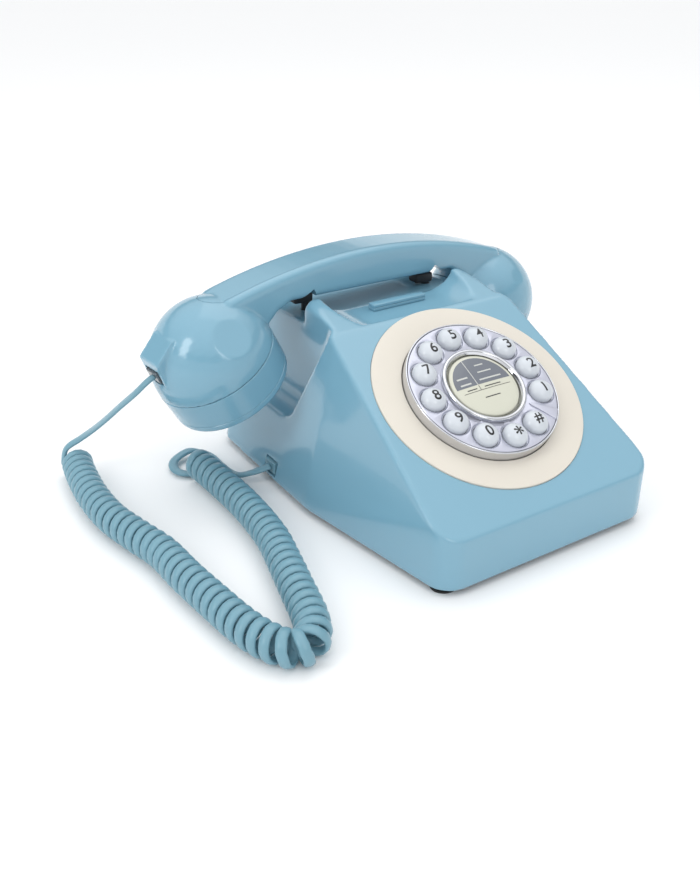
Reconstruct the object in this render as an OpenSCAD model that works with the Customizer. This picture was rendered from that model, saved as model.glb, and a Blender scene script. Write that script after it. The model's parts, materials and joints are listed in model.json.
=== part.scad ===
/* [Case] */
// Width across the front apron
front_w = 126; // [110:1:150]
// Widest width of the case, low down at its sides
side_w = 148; // [140:1:165]
// Depth of the case from apron to back
case_d = 192; // [180:1:230]
// Height of the front apron's top edge above the table
apron_h = 28; // [24:1:34]
// Slope of the dial face
face_angle = 30; // [26:1:33]
// Distance up the slope from the apron to the shoulders
shoulder_run = 117; // [114:1:128]
// Width across the shoulders at the top of the dial face
shoulder_w = 109; // [104:1:114]
// Height of the two front horns
horn_h = 94; // [92:1:98]
// Wall thickness of the mouldings
wall = 2.6; // [2:0.2:3]
// Height of the side decks under the handset's bells
deck_h = 36; // [30:1:38]

/* [Dial] */
// Outside diameter of the plain surround
surround_d = 106; // [96:1:107]
// Diameter of the raised keypad disc
disc_d = 78; // [76:1:84]
// Height of the keypad disc above the dial face
disc_rise = 6; // [5:0.5:8]
// Diameter of each round key
key_d = 11.8; // [10:0.2:12.4]
// Radius of the circle of keys
key_ring_r = 29.2; // [28.6:0.2:30]
// Diameter of the centre button
button_d = 35; // [30:0.5:35.4]
// How far a key goes in when it is pressed
key_travel = 1.5; // [1:0.1:1.6]

/* [Handset] */
// Radius of the round ends at their seams
bell_r = 31.2; // [26:0.2:32]
// Distance from the middle of the handset to each seam's centre
bell_reach = 90.6; // [90:0.5:100]
// Tilt of the round ends towards each other
bell_tilt = 31; // [26:1:34]
// Height of the grip's top at its middle
grip_top = 112.5; // [108:0.5:116]
// Width of the grip
grip_w = 25; // [22:1:30]

/* [Cord] */
// Diameter of the cord itself
cord_d = 2.8; // [2.4:0.1:3.2]
// Outside diameter of the curled stretch
curl_d = 16; // [14:1:18]

/* [Fits] */
// Gap between a moving piece and what it slides in
slide_gap = 0.3; // [0.25:0.05:0.4]

/* [Hidden] */

BLUE = "#8db9cf";
CREAM = "#e6e0d6";
CHROME = "#d0d2d8";
BLACK = "#1b1b1d";
WHITE = "#dfe5ee";
STEEL = "#9a9da3";
BOARD = "#2e6b43";
TEAL = "#5f94a3";

// Levels and places of the case
floor_gap = 3;
corner_r = 12;
rear_corner_r = 12;
side_bulge_y = 95;
side_bulge_r = 24;
rear_w = 142;
horn_y = 132;
horn_inner = 41;
horn_r = 5;
rear_horn_h = 90;
face_c = cos(face_angle);
face_s = sin(face_angle);
shoulder_y = shoulder_run * face_c;
shoulder_z = apron_h + shoulder_run * face_s;
tower_w = 99;

// How the handset lies in its cradle: a little askew, its cord end forwards and raised
lie_turn = 5;
lie_lean = 2.5;
lie_shift = -3;
lie_pivot_z = 95;

// The grip's cradle
handset_y = 150;
grip_under = 91.5;
trough_gap = 5.4;
trough_floor = 82;
trough_front = handset_y - grip_w / 2 - trough_gap;
trough_back = handset_y + grip_w / 2 + trough_gap;
valley_floor = 85;
lip_y = shoulder_y + 3;

// The scoop beside each horn: a leaning line in side view
scoop_top_y = shoulder_y + 1;
scoop_foot_y = scoop_top_y + 23;

// Dial levels along the face's own normal
housing_wall = 1.2;
surround_t = 1.8;
surround_sink = 1;
opening_r = disc_d / 2 + 1;
plate_t = 1.6;
plate_under = disc_rise - plate_t;
dial_run = 65.5;
key_bottom = plate_under - 1.8;
key_flange_t = 1.4;
key_shoulder = disc_rise + 0.8;
key_top = disc_rise + 4.6;
key_hole_r = key_d / 2 + slide_gap;
key_flange_r = key_d / 2 + 0.9;
mat_top = key_bottom - key_travel - 0.5;
mat_t = 3;
board_t = 1.6;
housing_r = key_ring_r + key_flange_r + 0.4 + housing_wall;
housing_floor = 1.6;
flange_r = opening_r + 5;
flange_t = 1.4;
ring_in_r = button_d / 2 + 0.8;
ring_out_r = ring_in_r + 2.4;
sleeve_r = ring_in_r + 1;
ring_rise = 2;
button_top = disc_rise + 0.9;
dial_screw_r = opening_r + 2.6;

// Twelve keys, a wider gap after the first for the finger-stop mark
KEY_NAMES = ["key_1", "key_2", "key_3", "key_4", "key_5", "key_6", "key_7", "key_8", "key_9",
    "key_0", "key_star", "key_hash"];
key_step = 29;
key_start = -23.5;

// Feet, plate, screws and boards
foot_r = 6;
foot_front = [54, 11];
foot_back = [56, case_d - 16];
plate_gap = 1;
base_t = 2.2;
plate_top = floor_gap + base_t;
screw_r = 1.5;
head_r = 3;
head_h = 1.8;
post_r = 4;
post_front = [44, 24];
post_back = [62, case_d - 34];
front_post_h = apron_h + (post_front[1] - post_r) * tan(face_angle) - 0.3 - plate_top;
back_post_h = deck_h - wall / 2 - plate_top;
board_z = plate_top + 7;
board_w = 84;
board_l = 46;
board_at = [0, 74];
standoff_r = 3.5;
ringer_r = 20;
ringer_h = 11;
ringer_at = [-26, 122];
ballast_size = [44, 34, 9];
ballast_at = [28, 122];

// Hook parts under the cradle
plunger_x = 38;
plunger_l = 22;
plunger_w = 9;
plunger_t = 4.6;
hook_travel = 4;
rod_r = 2.2;
rod_gap = 0.3;
trough_under = trough_floor - wall;
crossbar_top = trough_under - hook_travel - 1;
crossbar_t = 3;
crossbar_w = 10;
bracket_z = 58;
bracket_t = 1.6;
bracket_half = 46.4;
spring_r = 3.8;
spring_wire = 0.9;
switch_w = 14;

// Handset
seam_z = 66;
dome_h = 33;
cap_h = 18;
cap_rim_r = 30.2;
cap_face_t = 2.2;
shell_t = 2.4;
grip_arc_r = 300;
cover_w = 17;
cover_t = 1.8;
cover_half = 84;
facet_at = [6.2, 23.9, 20.1];
facet_tilt = 54;
facet_turn = 75.5;
facet_cut = 1.6;
bell_wall = 3.4;
neck_x = 58;
jack_tilt = 28;
snout_tip = [-123.2, 64.8];
snout_w = 17;
snout_reach = 4.1;
jack_size = [13, 12, 8];
plug_size = [12, 9.6, 6];
plug_show = 2.6;

// Cord jack low on the left side
cord_jack_y = 132;
cord_jack_z = plate_top + jack_size[2] / 2;
cord_jack_x = -side_w / 2 + 4.6;

// The frame's origin is under the middle of the telephone without its cord. Lying askew, the
// handset reaches lie_gain further to the left.
lie_gain = 1.4;
bell_out = bell_reach + sqrt(pow(bell_r * cos(bell_tilt), 2) + pow(dome_h * sin(bell_tilt), 2));
snout_out = snout_reach - snout_tip[0];
frame_x = (snout_out - bell_out) / 2 - lie_shift + lie_gain;
frame_y = -case_d / 2;

// Cord routes, in the case's own measures: x from the middle, y from the apron
lead_a = [[-127.3, 139.1, 70], [-131.2, 138.8, 68], [-135.5, 143, 62], [-139.5, 154, 52],
    [-143, 168, 40], [-146, 182, 29], [-148, 193, 21], [-150, 197.5, 15], [-152, 195.8, 10]];
coil_route = [[-152, 194, 8.4], [-155, 180, 8.4], [-158, 156, 8.4], [-158, 131, 8.4],
    [-154, 109, 8.4], [-150, 90, 8.4], [-149, 68, 8.4], [-147, 45, 8.4], [-145, 26, 8.4],
    [-142, 13, 8.4], [-137, 3, 8.4], [-130, 0, 8.4], [-124, 5, 8.4], [-119, 16, 8.4],
    [-114, 34, 8.4], [-109, 52, 8.4], [-103, 76, 8.4], [-100, 106, 8.4], [-100, 138, 8.4],
    [-101, 158, 8.4]];
lead_b = [[-101, 158, 8.4], [-102, 166, 8], [-101, 174, 6], [-96, 179, 4], [-90, 178, 2],
    [-87, 171, 1.8], [-87, 160, 1.8], [-87, 149, 2.4], [-85.6, 140, 4.4], [-80, 133.6, 7.6],
    [-72.2, 132, 9.2]];

// ---- helpers -------------------------------------------------------------

module in_frame() translate([frame_x, frame_y, 0]) children();

// Lays the handset, drawn level and straight, as it lies in the cradle
module as_laid() in_frame() translate([lie_shift, handset_y, lie_pivot_z])
    rotate([0, 0, lie_turn]) rotate([0, lie_lean, 0])
        translate([0, -handset_y, -lie_pivot_z]) children();

// Height of a plunger's top, just under the grip as it lies
function plunger_top(s) =
    grip_under - (s * plunger_x + plunger_l / 2 - lie_shift) * tan(lie_lean) - slide_gap;

// Stands its children on the dial face, Z along the face's outward normal
module on_face(run = dial_run, rise = 0)
    translate([0, run * face_c, apron_h + run * face_s]) rotate([face_angle, 0, 0])
        translate([0, 0, rise]) children();

module both_sides() for (s = [0, 1]) mirror([s, 0, 0]) children();

module ring(r_out, r_in, h) difference() {
    cylinder(r = r_out, h = h, $fn = 96);
    translate([0, 0, -1]) cylinder(r = r_in, h = h + 2, $fn = 96);
}

module at_key(i) rotate([0, 0, key_start + i * key_step]) translate([key_ring_r, 0, 0]) children();

// Convex block of the case, drawn in by 'inset' all round
module case_block(inset) {
    low = floor_gap - (inset > 0 ? 1 : 0);
    hull() both_sides() {
        translate([front_w / 2 - corner_r, corner_r, low])
            cylinder(r = corner_r - inset, h = 1, $fn = 32);
        translate([front_w / 2 - corner_r - 0.3, 0, 0]) on_face(corner_r, -inset - 1)
            cylinder(r = corner_r - inset, h = 1, $fn = 32);
        translate([side_w / 2 - side_bulge_r, side_bulge_y, low])
            cylinder(r = side_bulge_r - inset, h = 1, $fn = 32);
        translate([rear_w / 2 - rear_corner_r, case_d - rear_corner_r, low])
            cylinder(r = rear_corner_r - inset, h = 1, $fn = 32);
        translate([shoulder_w / 2 - horn_r, 0, 0]) on_face(shoulder_run - horn_r, -inset - 1)
            cylinder(r = horn_r - inset / 2, h = 1, $fn = 32);
        translate([tower_w / 2 - horn_r - 2, horn_y, horn_h - horn_r])
            sphere(r = horn_r - inset, $fn = 32);
        translate([tower_w / 2 - horn_r - 2, trough_back + 8, rear_horn_h - horn_r])
            sphere(r = horn_r - inset, $fn = 32);
    }
}

// What is cut out of the block for the bells and the grip, grown by 'grow'
module case_cuts(grow) {
    both_sides() translate([tower_w / 2 - grow, 0, 0]) rotate([90, 0, 90])
        linear_extrude(60) polygon([
            [scoop_foot_y - grow, deck_h - grow], [scoop_top_y - grow, shoulder_z],
            [scoop_top_y - grow - 6, horn_h + 20], [case_d + 20, horn_h + 20],
            [case_d + 20, deck_h - grow]]);
    translate([-100, 0, 0]) rotate([90, 0, 90]) linear_extrude(200) polygon([
        [trough_front - grow, trough_floor - grow], [trough_back + grow, trough_floor - grow],
        [trough_back + grow, horn_h + 20], [trough_front - grow, horn_h + 20]]);
    half = horn_inner + grow;
    translate([0, case_d, 0]) rotate([90, 0, 0]) linear_extrude(case_d - lip_y + grow) polygon(concat(
        [[-half, horn_h + 20], [-half, valley_floor + 8]],
        [for (a = [0:15:90]) [-half + 8 - 8 * cos(a), valley_floor + 8 - grow - 8 * sin(a)]],
        [for (a = [90:-15:0]) [half - 8 + 8 * cos(a), valley_floor + 8 - grow - 8 * sin(a)]],
        [[half, valley_floor + 8], [half, horn_h + 20]]));
}

module case_outline(inset) hull() both_sides() {
    translate([front_w / 2 - corner_r, corner_r]) circle(r = corner_r - inset, $fn = 32);
    translate([side_w / 2 - side_bulge_r, side_bulge_y]) circle(r = side_bulge_r - inset, $fn = 32);
    translate([rear_w / 2 - rear_corner_r, case_d - rear_corner_r])
        circle(r = rear_corner_r - inset, $fn = 32);
}

module at_point(p, z) translate([p[0], p[1], z]) children();

module at_posts() both_sides() for (p = [post_front, post_back]) translate([p[0], p[1], 0]) children();

module at_feet() both_sides() for (p = [foot_front, foot_back]) translate([p[0], p[1], 0]) children();

module at_board_corners() translate([board_at[0], board_at[1], 0])
    for (x = [-1, 1]) for (y = [-1, 1])
        translate([x * (board_w / 2 - 6), y * (board_l / 2 - 6), 0]) children();

// A socket block with an open cavity that a plug slides into; mouth faces -X
module jack_block() translate([0, -jack_size[1] / 2, -jack_size[2] / 2]) difference() {
    cube(jack_size);
    translate([-1, (jack_size[1] - plug_size[1]) / 2, (jack_size[2] - plug_size[2]) / 2])
        cube([plug_size[0] - plug_show + 1, plug_size[1], plug_size[2]]);
}

module plug_block() translate([-plug_show, -plug_size[1] / 2, -plug_size[2] / 2]) cube(plug_size);

module at_snout() translate([snout_tip[0], handset_y, snout_tip[1]]) rotate([0, -jack_tilt, 0])
    translate([2.4, 0, 0]) children();

module at_cord_jack() translate([cord_jack_x, cord_jack_y, cord_jack_z]) children();

// ---- sweep for the cord --------------------------------------------------

function unit(v) = v / norm(v);
function clamp_i(p, i) = p[max(0, min(len(p) - 1, i))];
function curve_at(p, i, t) =
    let (a = clamp_i(p, i - 1), b = clamp_i(p, i), c = clamp_i(p, i + 1), d = clamp_i(p, i + 2))
    0.5 * (2 * b + (c - a) * t + (2 * a - 5 * b + 4 * c - d) * t * t
        + (3 * b - a - 3 * c + d) * t * t * t);
function smooth(p, n) = concat([for (i = [0:len(p) - 2]) for (k = [0:n - 1]) curve_at(p, i, k / n)],
    [p[len(p) - 1]]);

// Closed tube of radius r along the points of a path
module tube(path, r, sides) {
    count = len(path);
    rings = [for (i = [0:count - 1])
        let (t = unit(clamp_i(path, i + 1) - clamp_i(path, i - 1)),
            u = unit(cross([0, 0, 1], t)), w = cross(t, u))
        for (k = [0:sides - 1]) path[i] + r * (cos(360 * k / sides) * u + sin(360 * k / sides) * w)];
    polyhedron(points = rings, faces = concat(
        [[for (k = [0:sides - 1]) k]],
        [for (i = [0:count - 2]) for (k = [0:sides - 1]) for (half = [0, 1])
            let (a = i * sides + k, b = i * sides + (k + 1) % sides)
            half ? [a, b + sides, b] : [a, a + sides, b + sides]],
        [[for (k = [sides - 1:-1:0]) (count - 1) * sides + k]]));
}

// ---- case and what is inside it ------------------------------------------

module case_shell() color(BLUE) in_frame() {
    difference() {
        case_block(0);
        difference() {
            case_block(wall);
            case_cuts(wall);
        }
        case_cuts(0);
        on_face(rise = -surround_sink) cylinder(d = surround_d + 0.3, h = 5, $fn = 96);
        on_face(rise = -20) cylinder(r = opening_r, h = 22, $fn = 96);
        for (s = [-1, 1]) translate([s * plunger_x, handset_y, trough_under - 2])
            cylinder(r = rod_r + rod_gap, h = 8, $fn = 32);
        translate([-side_w / 2 - 5, cord_jack_y - jack_size[1] / 2, cord_jack_z - jack_size[2] / 2])
            cube([14, jack_size[1], jack_size[2]]);
        translate([-8, case_d - 12, plate_top + 3]) cube([16, 20, 12]);
    }
    difference() {
        both_sides() {
            at_point(post_front, plate_top) cylinder(r = post_r, h = front_post_h, $fn = 32);
            at_point(post_back, plate_top) cylinder(r = post_r, h = back_post_h, $fn = 32);
        }
        at_posts() translate([0, 0, plate_top - 1]) cylinder(r = screw_r, h = 11, $fn = 32);
    }
}

module base_plate() color(BLACK) in_frame() difference() {
    union() {
        translate([0, 0, floor_gap]) linear_extrude(base_t) case_outline(wall + plate_gap);
        at_board_corners() translate([0, 0, plate_top])
            cylinder(r = standoff_r, h = board_z - plate_top, $fn = 32);
    }
    at_posts() translate([0, 0, floor_gap - 1]) cylinder(r = screw_r, h = base_t + 2, $fn = 32);
    at_posts() translate([0, 0, floor_gap - 1]) cylinder(r = head_r, h = 1.9, $fn = 32);
    at_board_corners() translate([0, 0, plate_top + 1]) cylinder(r = screw_r, h = 20, $fn = 32);
    at_feet() translate([0, 0, floor_gap - 1]) cylinder(r = foot_r + 0.1, h = 1.8, $fn = 48);
}

module rubber_feet() color(BLACK) in_frame() at_feet() {
    difference() {
        cylinder(r = foot_r, h = floor_gap + 0.8, $fn = 48);
        translate([0, 0, 1.1]) difference() {
            cylinder(r = foot_r + 1, h = 0.7, $fn = 48);
            translate([0, 0, -1]) cylinder(r = foot_r - 0.5, h = 3, $fn = 48);
        }
    }
}

module base_screws() color(STEEL) in_frame() at_posts() {
    translate([0, 0, floor_gap + 0.9 - head_h]) cylinder(r = head_r - 0.1, h = head_h, $fn = 32);
    translate([0, 0, floor_gap]) cylinder(r = screw_r, h = base_t + 8, $fn = 32);
}

module line_jack() color(BLACK) in_frame()
    translate([-8, case_d - 16.4, plate_top + 3]) difference() {
        cube([16, 14, 12]);
        translate([3, 5, 2.4]) cube([10, 10, 7]);
    }

module cord_jack() color(BLACK) in_frame() at_cord_jack() jack_block();

module main_board() color(BOARD) in_frame() difference() {
    union() {
        translate([board_at[0] - board_w / 2, board_at[1] - board_l / 2, board_z])
            cube([board_w, board_l, board_t]);
        translate([board_at[0] - 24, board_at[1] - 12, board_z + board_t]) cube([16, 12, 3]);
        for (i = [0:3]) translate([board_at[0] + 2 + i * 9, board_at[1] + 8, board_z + board_t])
            cylinder(r = 3, h = 9, $fn = 32);
    }
    at_board_corners() translate([0, 0, board_z - 1]) cylinder(r = screw_r, h = 4, $fn = 32);
}

module board_screws() color(STEEL) in_frame() at_board_corners() {
    translate([0, 0, board_z + board_t]) cylinder(r = head_r - 0.2, h = head_h, $fn = 32);
    translate([0, 0, board_z - 5]) cylinder(r = screw_r, h = board_t + 5, $fn = 32);
}

module ringer() color(BLACK) in_frame() translate([ringer_at[0], ringer_at[1], plate_top]) {
    cylinder(r = ringer_r, h = 3, $fn = 64);
    cylinder(r = ringer_r * 0.62, h = ringer_h, $fn = 64);
}

module ballast_weight() color(STEEL) in_frame()
    translate([ballast_at[0] - ballast_size[0] / 2, ballast_at[1] - ballast_size[1] / 2, plate_top])
        cube(ballast_size);

// ---- cradle and hook -----------------------------------------------------

module cradle_bar() color(BLUE) in_frame() translate([-16, lip_y + 16, valley_floor])
    cube([32, 5, 3.4]);

module hook_bracket() color(STEEL) in_frame() difference() {
    translate([0, handset_y - crossbar_w / 2 - 1, 0]) union() {
        translate([-bracket_half, 0, bracket_z]) cube([2 * bracket_half, crossbar_w + 2, bracket_t]);
        for (s = [0, 1]) translate([s ? bracket_half - bracket_t : -bracket_half, 0, bracket_z])
            cube([bracket_t, crossbar_w + 2, trough_under - bracket_z]);
    }
    for (s = [-1, 1]) translate([s * plunger_x, handset_y, bracket_z - 1])
        cylinder(r = rod_r + rod_gap, h = 4, $fn = 32);
}

module hook_switch() color(BLACK) in_frame()
    translate([-switch_w / 2, handset_y - 3.5, bracket_z + bracket_t]) {
        cube([switch_w, 7, 9]);
        translate([switch_w / 2, 3.5, 0])
            cylinder(r = 1.5, h = crossbar_top - crossbar_t - slide_gap - bracket_z - bracket_t, $fn = 32);
    }

module hook_crossbar() color(STEEL) in_frame() difference() {
    translate([-plunger_x - 6, handset_y - crossbar_w / 2, crossbar_top - crossbar_t])
        cube([2 * plunger_x + 12, crossbar_w, crossbar_t]);
    for (s = [-1, 1]) translate([s * plunger_x, handset_y, crossbar_top - crossbar_t - 1])
        cylinder(r = rod_r, h = crossbar_t + 2, $fn = 32);
}

module cradle_plungers() color(BLACK) in_frame() for (s = [-1, 1]) translate([s * plunger_x, handset_y, 0]) {
    translate([-plunger_l / 2, -plunger_w / 2, plunger_top(s) - plunger_t])
        cube([plunger_l, plunger_w, plunger_t]);
    translate([0, 0, bracket_z - 4])
        cylinder(r = rod_r, h = plunger_top(s) - plunger_t - bracket_z + 4, $fn = 32);
}

module hook_springs() color(STEEL) in_frame() for (s = [-1, 1])
    translate([s * plunger_x, handset_y, bracket_z + bracket_t])
        ring(spring_r, spring_r - spring_wire, crossbar_top - crossbar_t - bracket_z - bracket_t);

// ---- dial ----------------------------------------------------------------

module dial_surround() color(CREAM) in_frame() on_face(rise = -surround_sink)
    ring(surround_d / 2, opening_r, surround_t);

module dial_housing() color(BLACK) in_frame() on_face() {
    base = mat_top - mat_t - board_t - housing_floor;
    translate([0, 0, base]) cylinder(r = housing_r, h = housing_floor, $fn = 96);
    translate([0, 0, base]) ring(housing_r, housing_r - housing_wall, plate_under - base);
    translate([0, 0, -wall - flange_t]) difference() {
        ring(flange_r, housing_r - 0.5, flange_t);
        for (a = [45:90:315]) rotate([0, 0, a]) translate([dial_screw_r, 0, -1])
            cylinder(r = 1.2, h = 4, $fn = 32);
    }
}

module dial_rim() color(CHROME) in_frame() on_face(rise = -surround_sink)
    ring(disc_d / 2 + 0.6, housing_r, disc_rise - plate_t + surround_sink);

module dial_faceplate() color(WHITE) in_frame() on_face(rise = plate_under) difference() {
    cylinder(r = disc_d / 2, h = plate_t, $fn = 128);
    translate([0, 0, -1]) cylinder(r = sleeve_r, h = plate_t + 2, $fn = 96);
    for (i = [0:len(KEY_NAMES) - 1]) at_key(i)
        translate([0, 0, -1]) cylinder(r = key_hole_r, h = plate_t + 2, $fn = 48);
}

module centre_ring() color(CHROME) in_frame() on_face() {
    translate([0, 0, disc_rise]) ring(ring_out_r, ring_in_r, ring_rise);
    translate([0, 0, plate_under]) ring(sleeve_r, ring_in_r, plate_t);
}

module key_mat() color(STEEL) in_frame() on_face(rise = mat_top - mat_t)
    cylinder(r = housing_r - housing_wall, h = mat_t, $fn = 96);

module key_board() color(BOARD) in_frame() on_face(rise = mat_top - mat_t - board_t)
    cylinder(r = housing_r - housing_wall, h = board_t, $fn = 96);

module dial_screws() color(STEEL) in_frame() on_face(rise = -wall - flange_t)
    for (a = [45:90:315]) rotate([0, 0, a]) translate([dial_screw_r, 0, 0]) {
        translate([0, 0, -1.6]) cylinder(r = 2.2, h = 1.6, $fn = 32);
        cylinder(r = 1.2, h = flange_t, $fn = 32);
    }

// One key: retaining flange, straight side and domed cap
module key(i) color(WHITE) in_frame() on_face() at_key(i) {
    r = key_d / 2;
    dome = key_top - key_shoulder;
    rotate_extrude($fn = 48) polygon(concat(
        [[0, key_bottom], [key_flange_r, key_bottom], [key_flange_r, key_bottom + key_flange_t],
            [r, key_bottom + key_flange_t]],
        [for (a = [0:15:75]) [r * cos(a), key_shoulder + dome * sin(a)]],
        [[0, key_top]]));
}

module redial_button() color(CREAM) in_frame() on_face() {
    r = button_d / 2;
    rotate_extrude($fn = 96) polygon([[0, key_bottom], [sleeve_r + 0.6, key_bottom],
        [sleeve_r + 0.6, key_bottom + key_flange_t], [r, key_bottom + key_flange_t],
        [r, button_top - 0.6], [r - 0.6, button_top], [r * 0.5, button_top + 0.5], [0, button_top + 0.7]]);
}

// ---- handset -------------------------------------------------------------

// Stands its children on a bell's seam, Z along its axis away from the mouth
module at_bell(s) translate([s * bell_reach, handset_y, seam_z]) rotate([0, s * bell_tilt, 0]) children();

module dome(inset) rotate_extrude($fn = 72) polygon(concat([[0, 0]],
    [for (a = [0:7.5:90]) [(bell_r - inset) * cos(a), (dome_h - inset) * sin(a)]]));

function grip_z(x) = grip_top - grip_arc_r + sqrt(grip_arc_r * grip_arc_r - x * x);

module grip_outline(inset) {
    reach = bell_reach + 1;
    polygon(concat(
        [for (i = [-12:12]) let (x = i * reach / 12) [x, grip_z(x) - inset]],
        [[bell_reach - 6, seam_z + 10], [neck_x + 7 + inset, seam_z + 17 + inset],
            [neck_x + 2, grip_under - 3 + inset], [neck_x - 4, grip_under + inset],
            [4 - neck_x, grip_under + inset], [-neck_x - 2, grip_under - 3 + inset],
            [-neck_x - 7 - inset, seam_z + 17 + inset], [6 - bell_reach, seam_z + 10]]));
}

module along_y(w) translate([0, handset_y + w / 2, 0]) rotate([90, 0, 0]) linear_extrude(w) children();

module snout_outline() polygon([
    [snout_tip[0] - snout_reach, snout_tip[1] + 7.6], [snout_tip[0] + 4, snout_tip[1] - 7.6],
    [snout_tip[0] + 12, snout_tip[1] - 14], [snout_tip[0] + 24, snout_tip[1] + 10],
    [snout_tip[0] + 5.2, snout_tip[1] + 19]]);

module cover_band(extra) along_y(cover_w) polygon(concat(
    [for (i = [-12:12]) let (x = i * cover_half / 12) [x, grip_z(x) + extra]],
    [for (i = [12:-1:-12]) let (x = i * cover_half / 12) [x, grip_z(x) - cover_t]]));

module handset_shell() color(BLUE) as_laid() difference() {
    union() {
        for (s = [-1, 1]) at_bell(s) dome(0);
        along_y(grip_w) grip_outline(0);
        along_y(snout_w) snout_outline();
    }
    for (s = [-1, 1]) at_bell(s) translate([0, 0, -0.01]) dome(bell_wall);
    for (s = [-1, 1]) at_bell(s) translate([0, 0, -60]) cylinder(r = bell_r + 20, h = 60, $fn = 72);
    along_y(grip_w - 2 * shell_t) grip_outline(shell_t + cover_t);
    cover_band(2);
    for (s = [-1, 1]) for (t = [-1, 1]) at_bell(s)
        translate([-s * facet_at[0], t * facet_at[1], facet_at[2]])
            rotate([0, facet_tilt, s > 0 ? t * (180 - facet_turn) : t * facet_turn])
                translate([0, 0, -facet_cut]) cylinder(r = 16, h = 10, $fn = 48);
    at_snout() translate([-6, -jack_size[1] / 2, -jack_size[2] / 2])
        cube([jack_size[0] + 6, jack_size[1], jack_size[2]]);
}

module handset_cover() color(BLUE) as_laid() cover_band(0);

// A bell's screw cap: side wall, rounded rim and a face with sound holes
module bell_cap(s, rings) color(BLUE) as_laid() at_bell(s) difference() {
    rotate_extrude($fn = 72) polygon([[bell_r - shell_t - 0.2, 0], [bell_r, 0],
        [cap_rim_r + 0.4, 3 - cap_h], [cap_rim_r - 0.5, 1 - cap_h], [cap_rim_r - 3, -cap_h],
        [cap_rim_r - 8, 0.8 - cap_h], [0, 1.4 - cap_h], [0, 1.4 - cap_h + cap_face_t],
        [cap_rim_r - shell_t - 1, 1 - cap_h + cap_face_t]]);
    translate([0, 0, -cap_h - 1]) cylinder(r = 1.1, h = 6, $fn = 24);
    for (k = [1:rings]) for (i = [0:6 * k - 1]) rotate([0, 0, i * 60 / k]) translate([k * 4.4, 0, -cap_h - 1])
        cylinder(r = 1.1, h = 6, $fn = 24);
}

module mouthpiece_cap() bell_cap(-1, 1);

module earpiece_cap() bell_cap(1, 2);

module microphone() color(STEEL) as_laid() at_bell(-1) translate([0, 0, 1.4 - cap_h + cap_face_t])
    cylinder(r = 9, h = 7, $fn = 48);

module receiver() color(BLACK) as_laid() at_bell(1) translate([0, 0, 1.4 - cap_h + cap_face_t]) {
    cylinder(r = 19, h = 5, $fn = 64);
    cylinder(r = 11, h = 11, $fn = 64);
}

module handset_weight() color(STEEL) as_laid()
    translate([-32, handset_y - 7, grip_under + shell_t + cover_t]) cube([64, 14, 6]);

module handset_jack() color(BLACK) as_laid() at_snout() jack_block();

// ---- cord ----------------------------------------------------------------

module cord_plug_handset() color(BLACK) as_laid() at_snout() plug_block();

module cord_lead_handset() color(TEAL) in_frame() tube(smooth(lead_a, 2), cord_d / 2, 8);

module cord_coil() color(TEAL) in_frame() tube(smooth(coil_route, 2), curl_d / 2, 12);

module cord_lead_base() color(TEAL) in_frame() tube(smooth(lead_b, 2), cord_d / 2, 8);

module cord_plug_base() color(BLACK) in_frame() at_cord_jack() plug_block();

case_shell();
base_plate();
rubber_feet();
base_screws();
line_jack();
cord_jack();
main_board();
board_screws();
ringer();
ballast_weight();
hook_bracket();
hook_switch();
cradle_bar();
hook_crossbar();
cradle_plungers();
hook_springs();
dial_surround();
dial_housing();
dial_rim();
dial_faceplate();
centre_ring();
key_mat();
key_board();
dial_screws();
for (i = [0:len(KEY_NAMES) - 1]) key(i);
redial_button();
handset_shell();
handset_cover();
mouthpiece_cap();
earpiece_cap();
microphone();
receiver();
handset_weight();
handset_jack();
cord_plug_handset();
cord_lead_handset();
cord_coil();
cord_lead_base();
cord_plug_base();
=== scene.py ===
# %% [markdown]
# # A desk telephone with a round push-key dial
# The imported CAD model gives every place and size. This lesson gives it its looks: smooth
# mouldings, bright dial trim, printed keys and a curly cord. Each piece is built at its real
# size, in metres, straight where the CAD model says that it is.

# %% Load the frame
import json
import math
import bpy
from mathutils import Matrix, Vector


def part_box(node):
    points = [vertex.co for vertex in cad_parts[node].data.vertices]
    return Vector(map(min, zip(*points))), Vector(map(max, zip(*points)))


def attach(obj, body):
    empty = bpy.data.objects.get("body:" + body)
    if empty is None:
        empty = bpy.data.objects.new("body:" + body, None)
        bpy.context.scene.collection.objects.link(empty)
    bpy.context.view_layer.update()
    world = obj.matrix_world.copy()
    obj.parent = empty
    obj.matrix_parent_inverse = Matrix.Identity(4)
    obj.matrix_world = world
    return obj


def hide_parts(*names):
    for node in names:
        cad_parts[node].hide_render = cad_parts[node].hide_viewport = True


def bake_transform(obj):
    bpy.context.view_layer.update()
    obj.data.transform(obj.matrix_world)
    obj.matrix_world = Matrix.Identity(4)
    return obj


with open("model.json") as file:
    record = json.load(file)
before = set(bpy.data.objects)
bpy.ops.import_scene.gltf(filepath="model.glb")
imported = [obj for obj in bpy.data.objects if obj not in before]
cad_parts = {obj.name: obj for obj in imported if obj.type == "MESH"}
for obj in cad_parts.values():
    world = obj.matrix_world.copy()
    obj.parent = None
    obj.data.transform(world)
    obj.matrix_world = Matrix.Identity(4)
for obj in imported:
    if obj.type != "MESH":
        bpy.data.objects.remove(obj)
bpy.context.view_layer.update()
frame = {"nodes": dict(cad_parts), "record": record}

nodes = frame["nodes"]

# %% [markdown]
# ## Places and measures
# A maker measures a telephone from its own edges: across from its middle, back from its front
# apron and up from the table. `place` turns such millimetres into a point of the shared frame,
# so the numbers below stay readable and still land on the CAD parts.

# %% Measures
MM = 0.001
case_low, case_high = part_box("case_shell")
MIDDLE_X = (case_low.x + case_high.x) / 2
FRONT_Y = case_low.y


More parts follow.
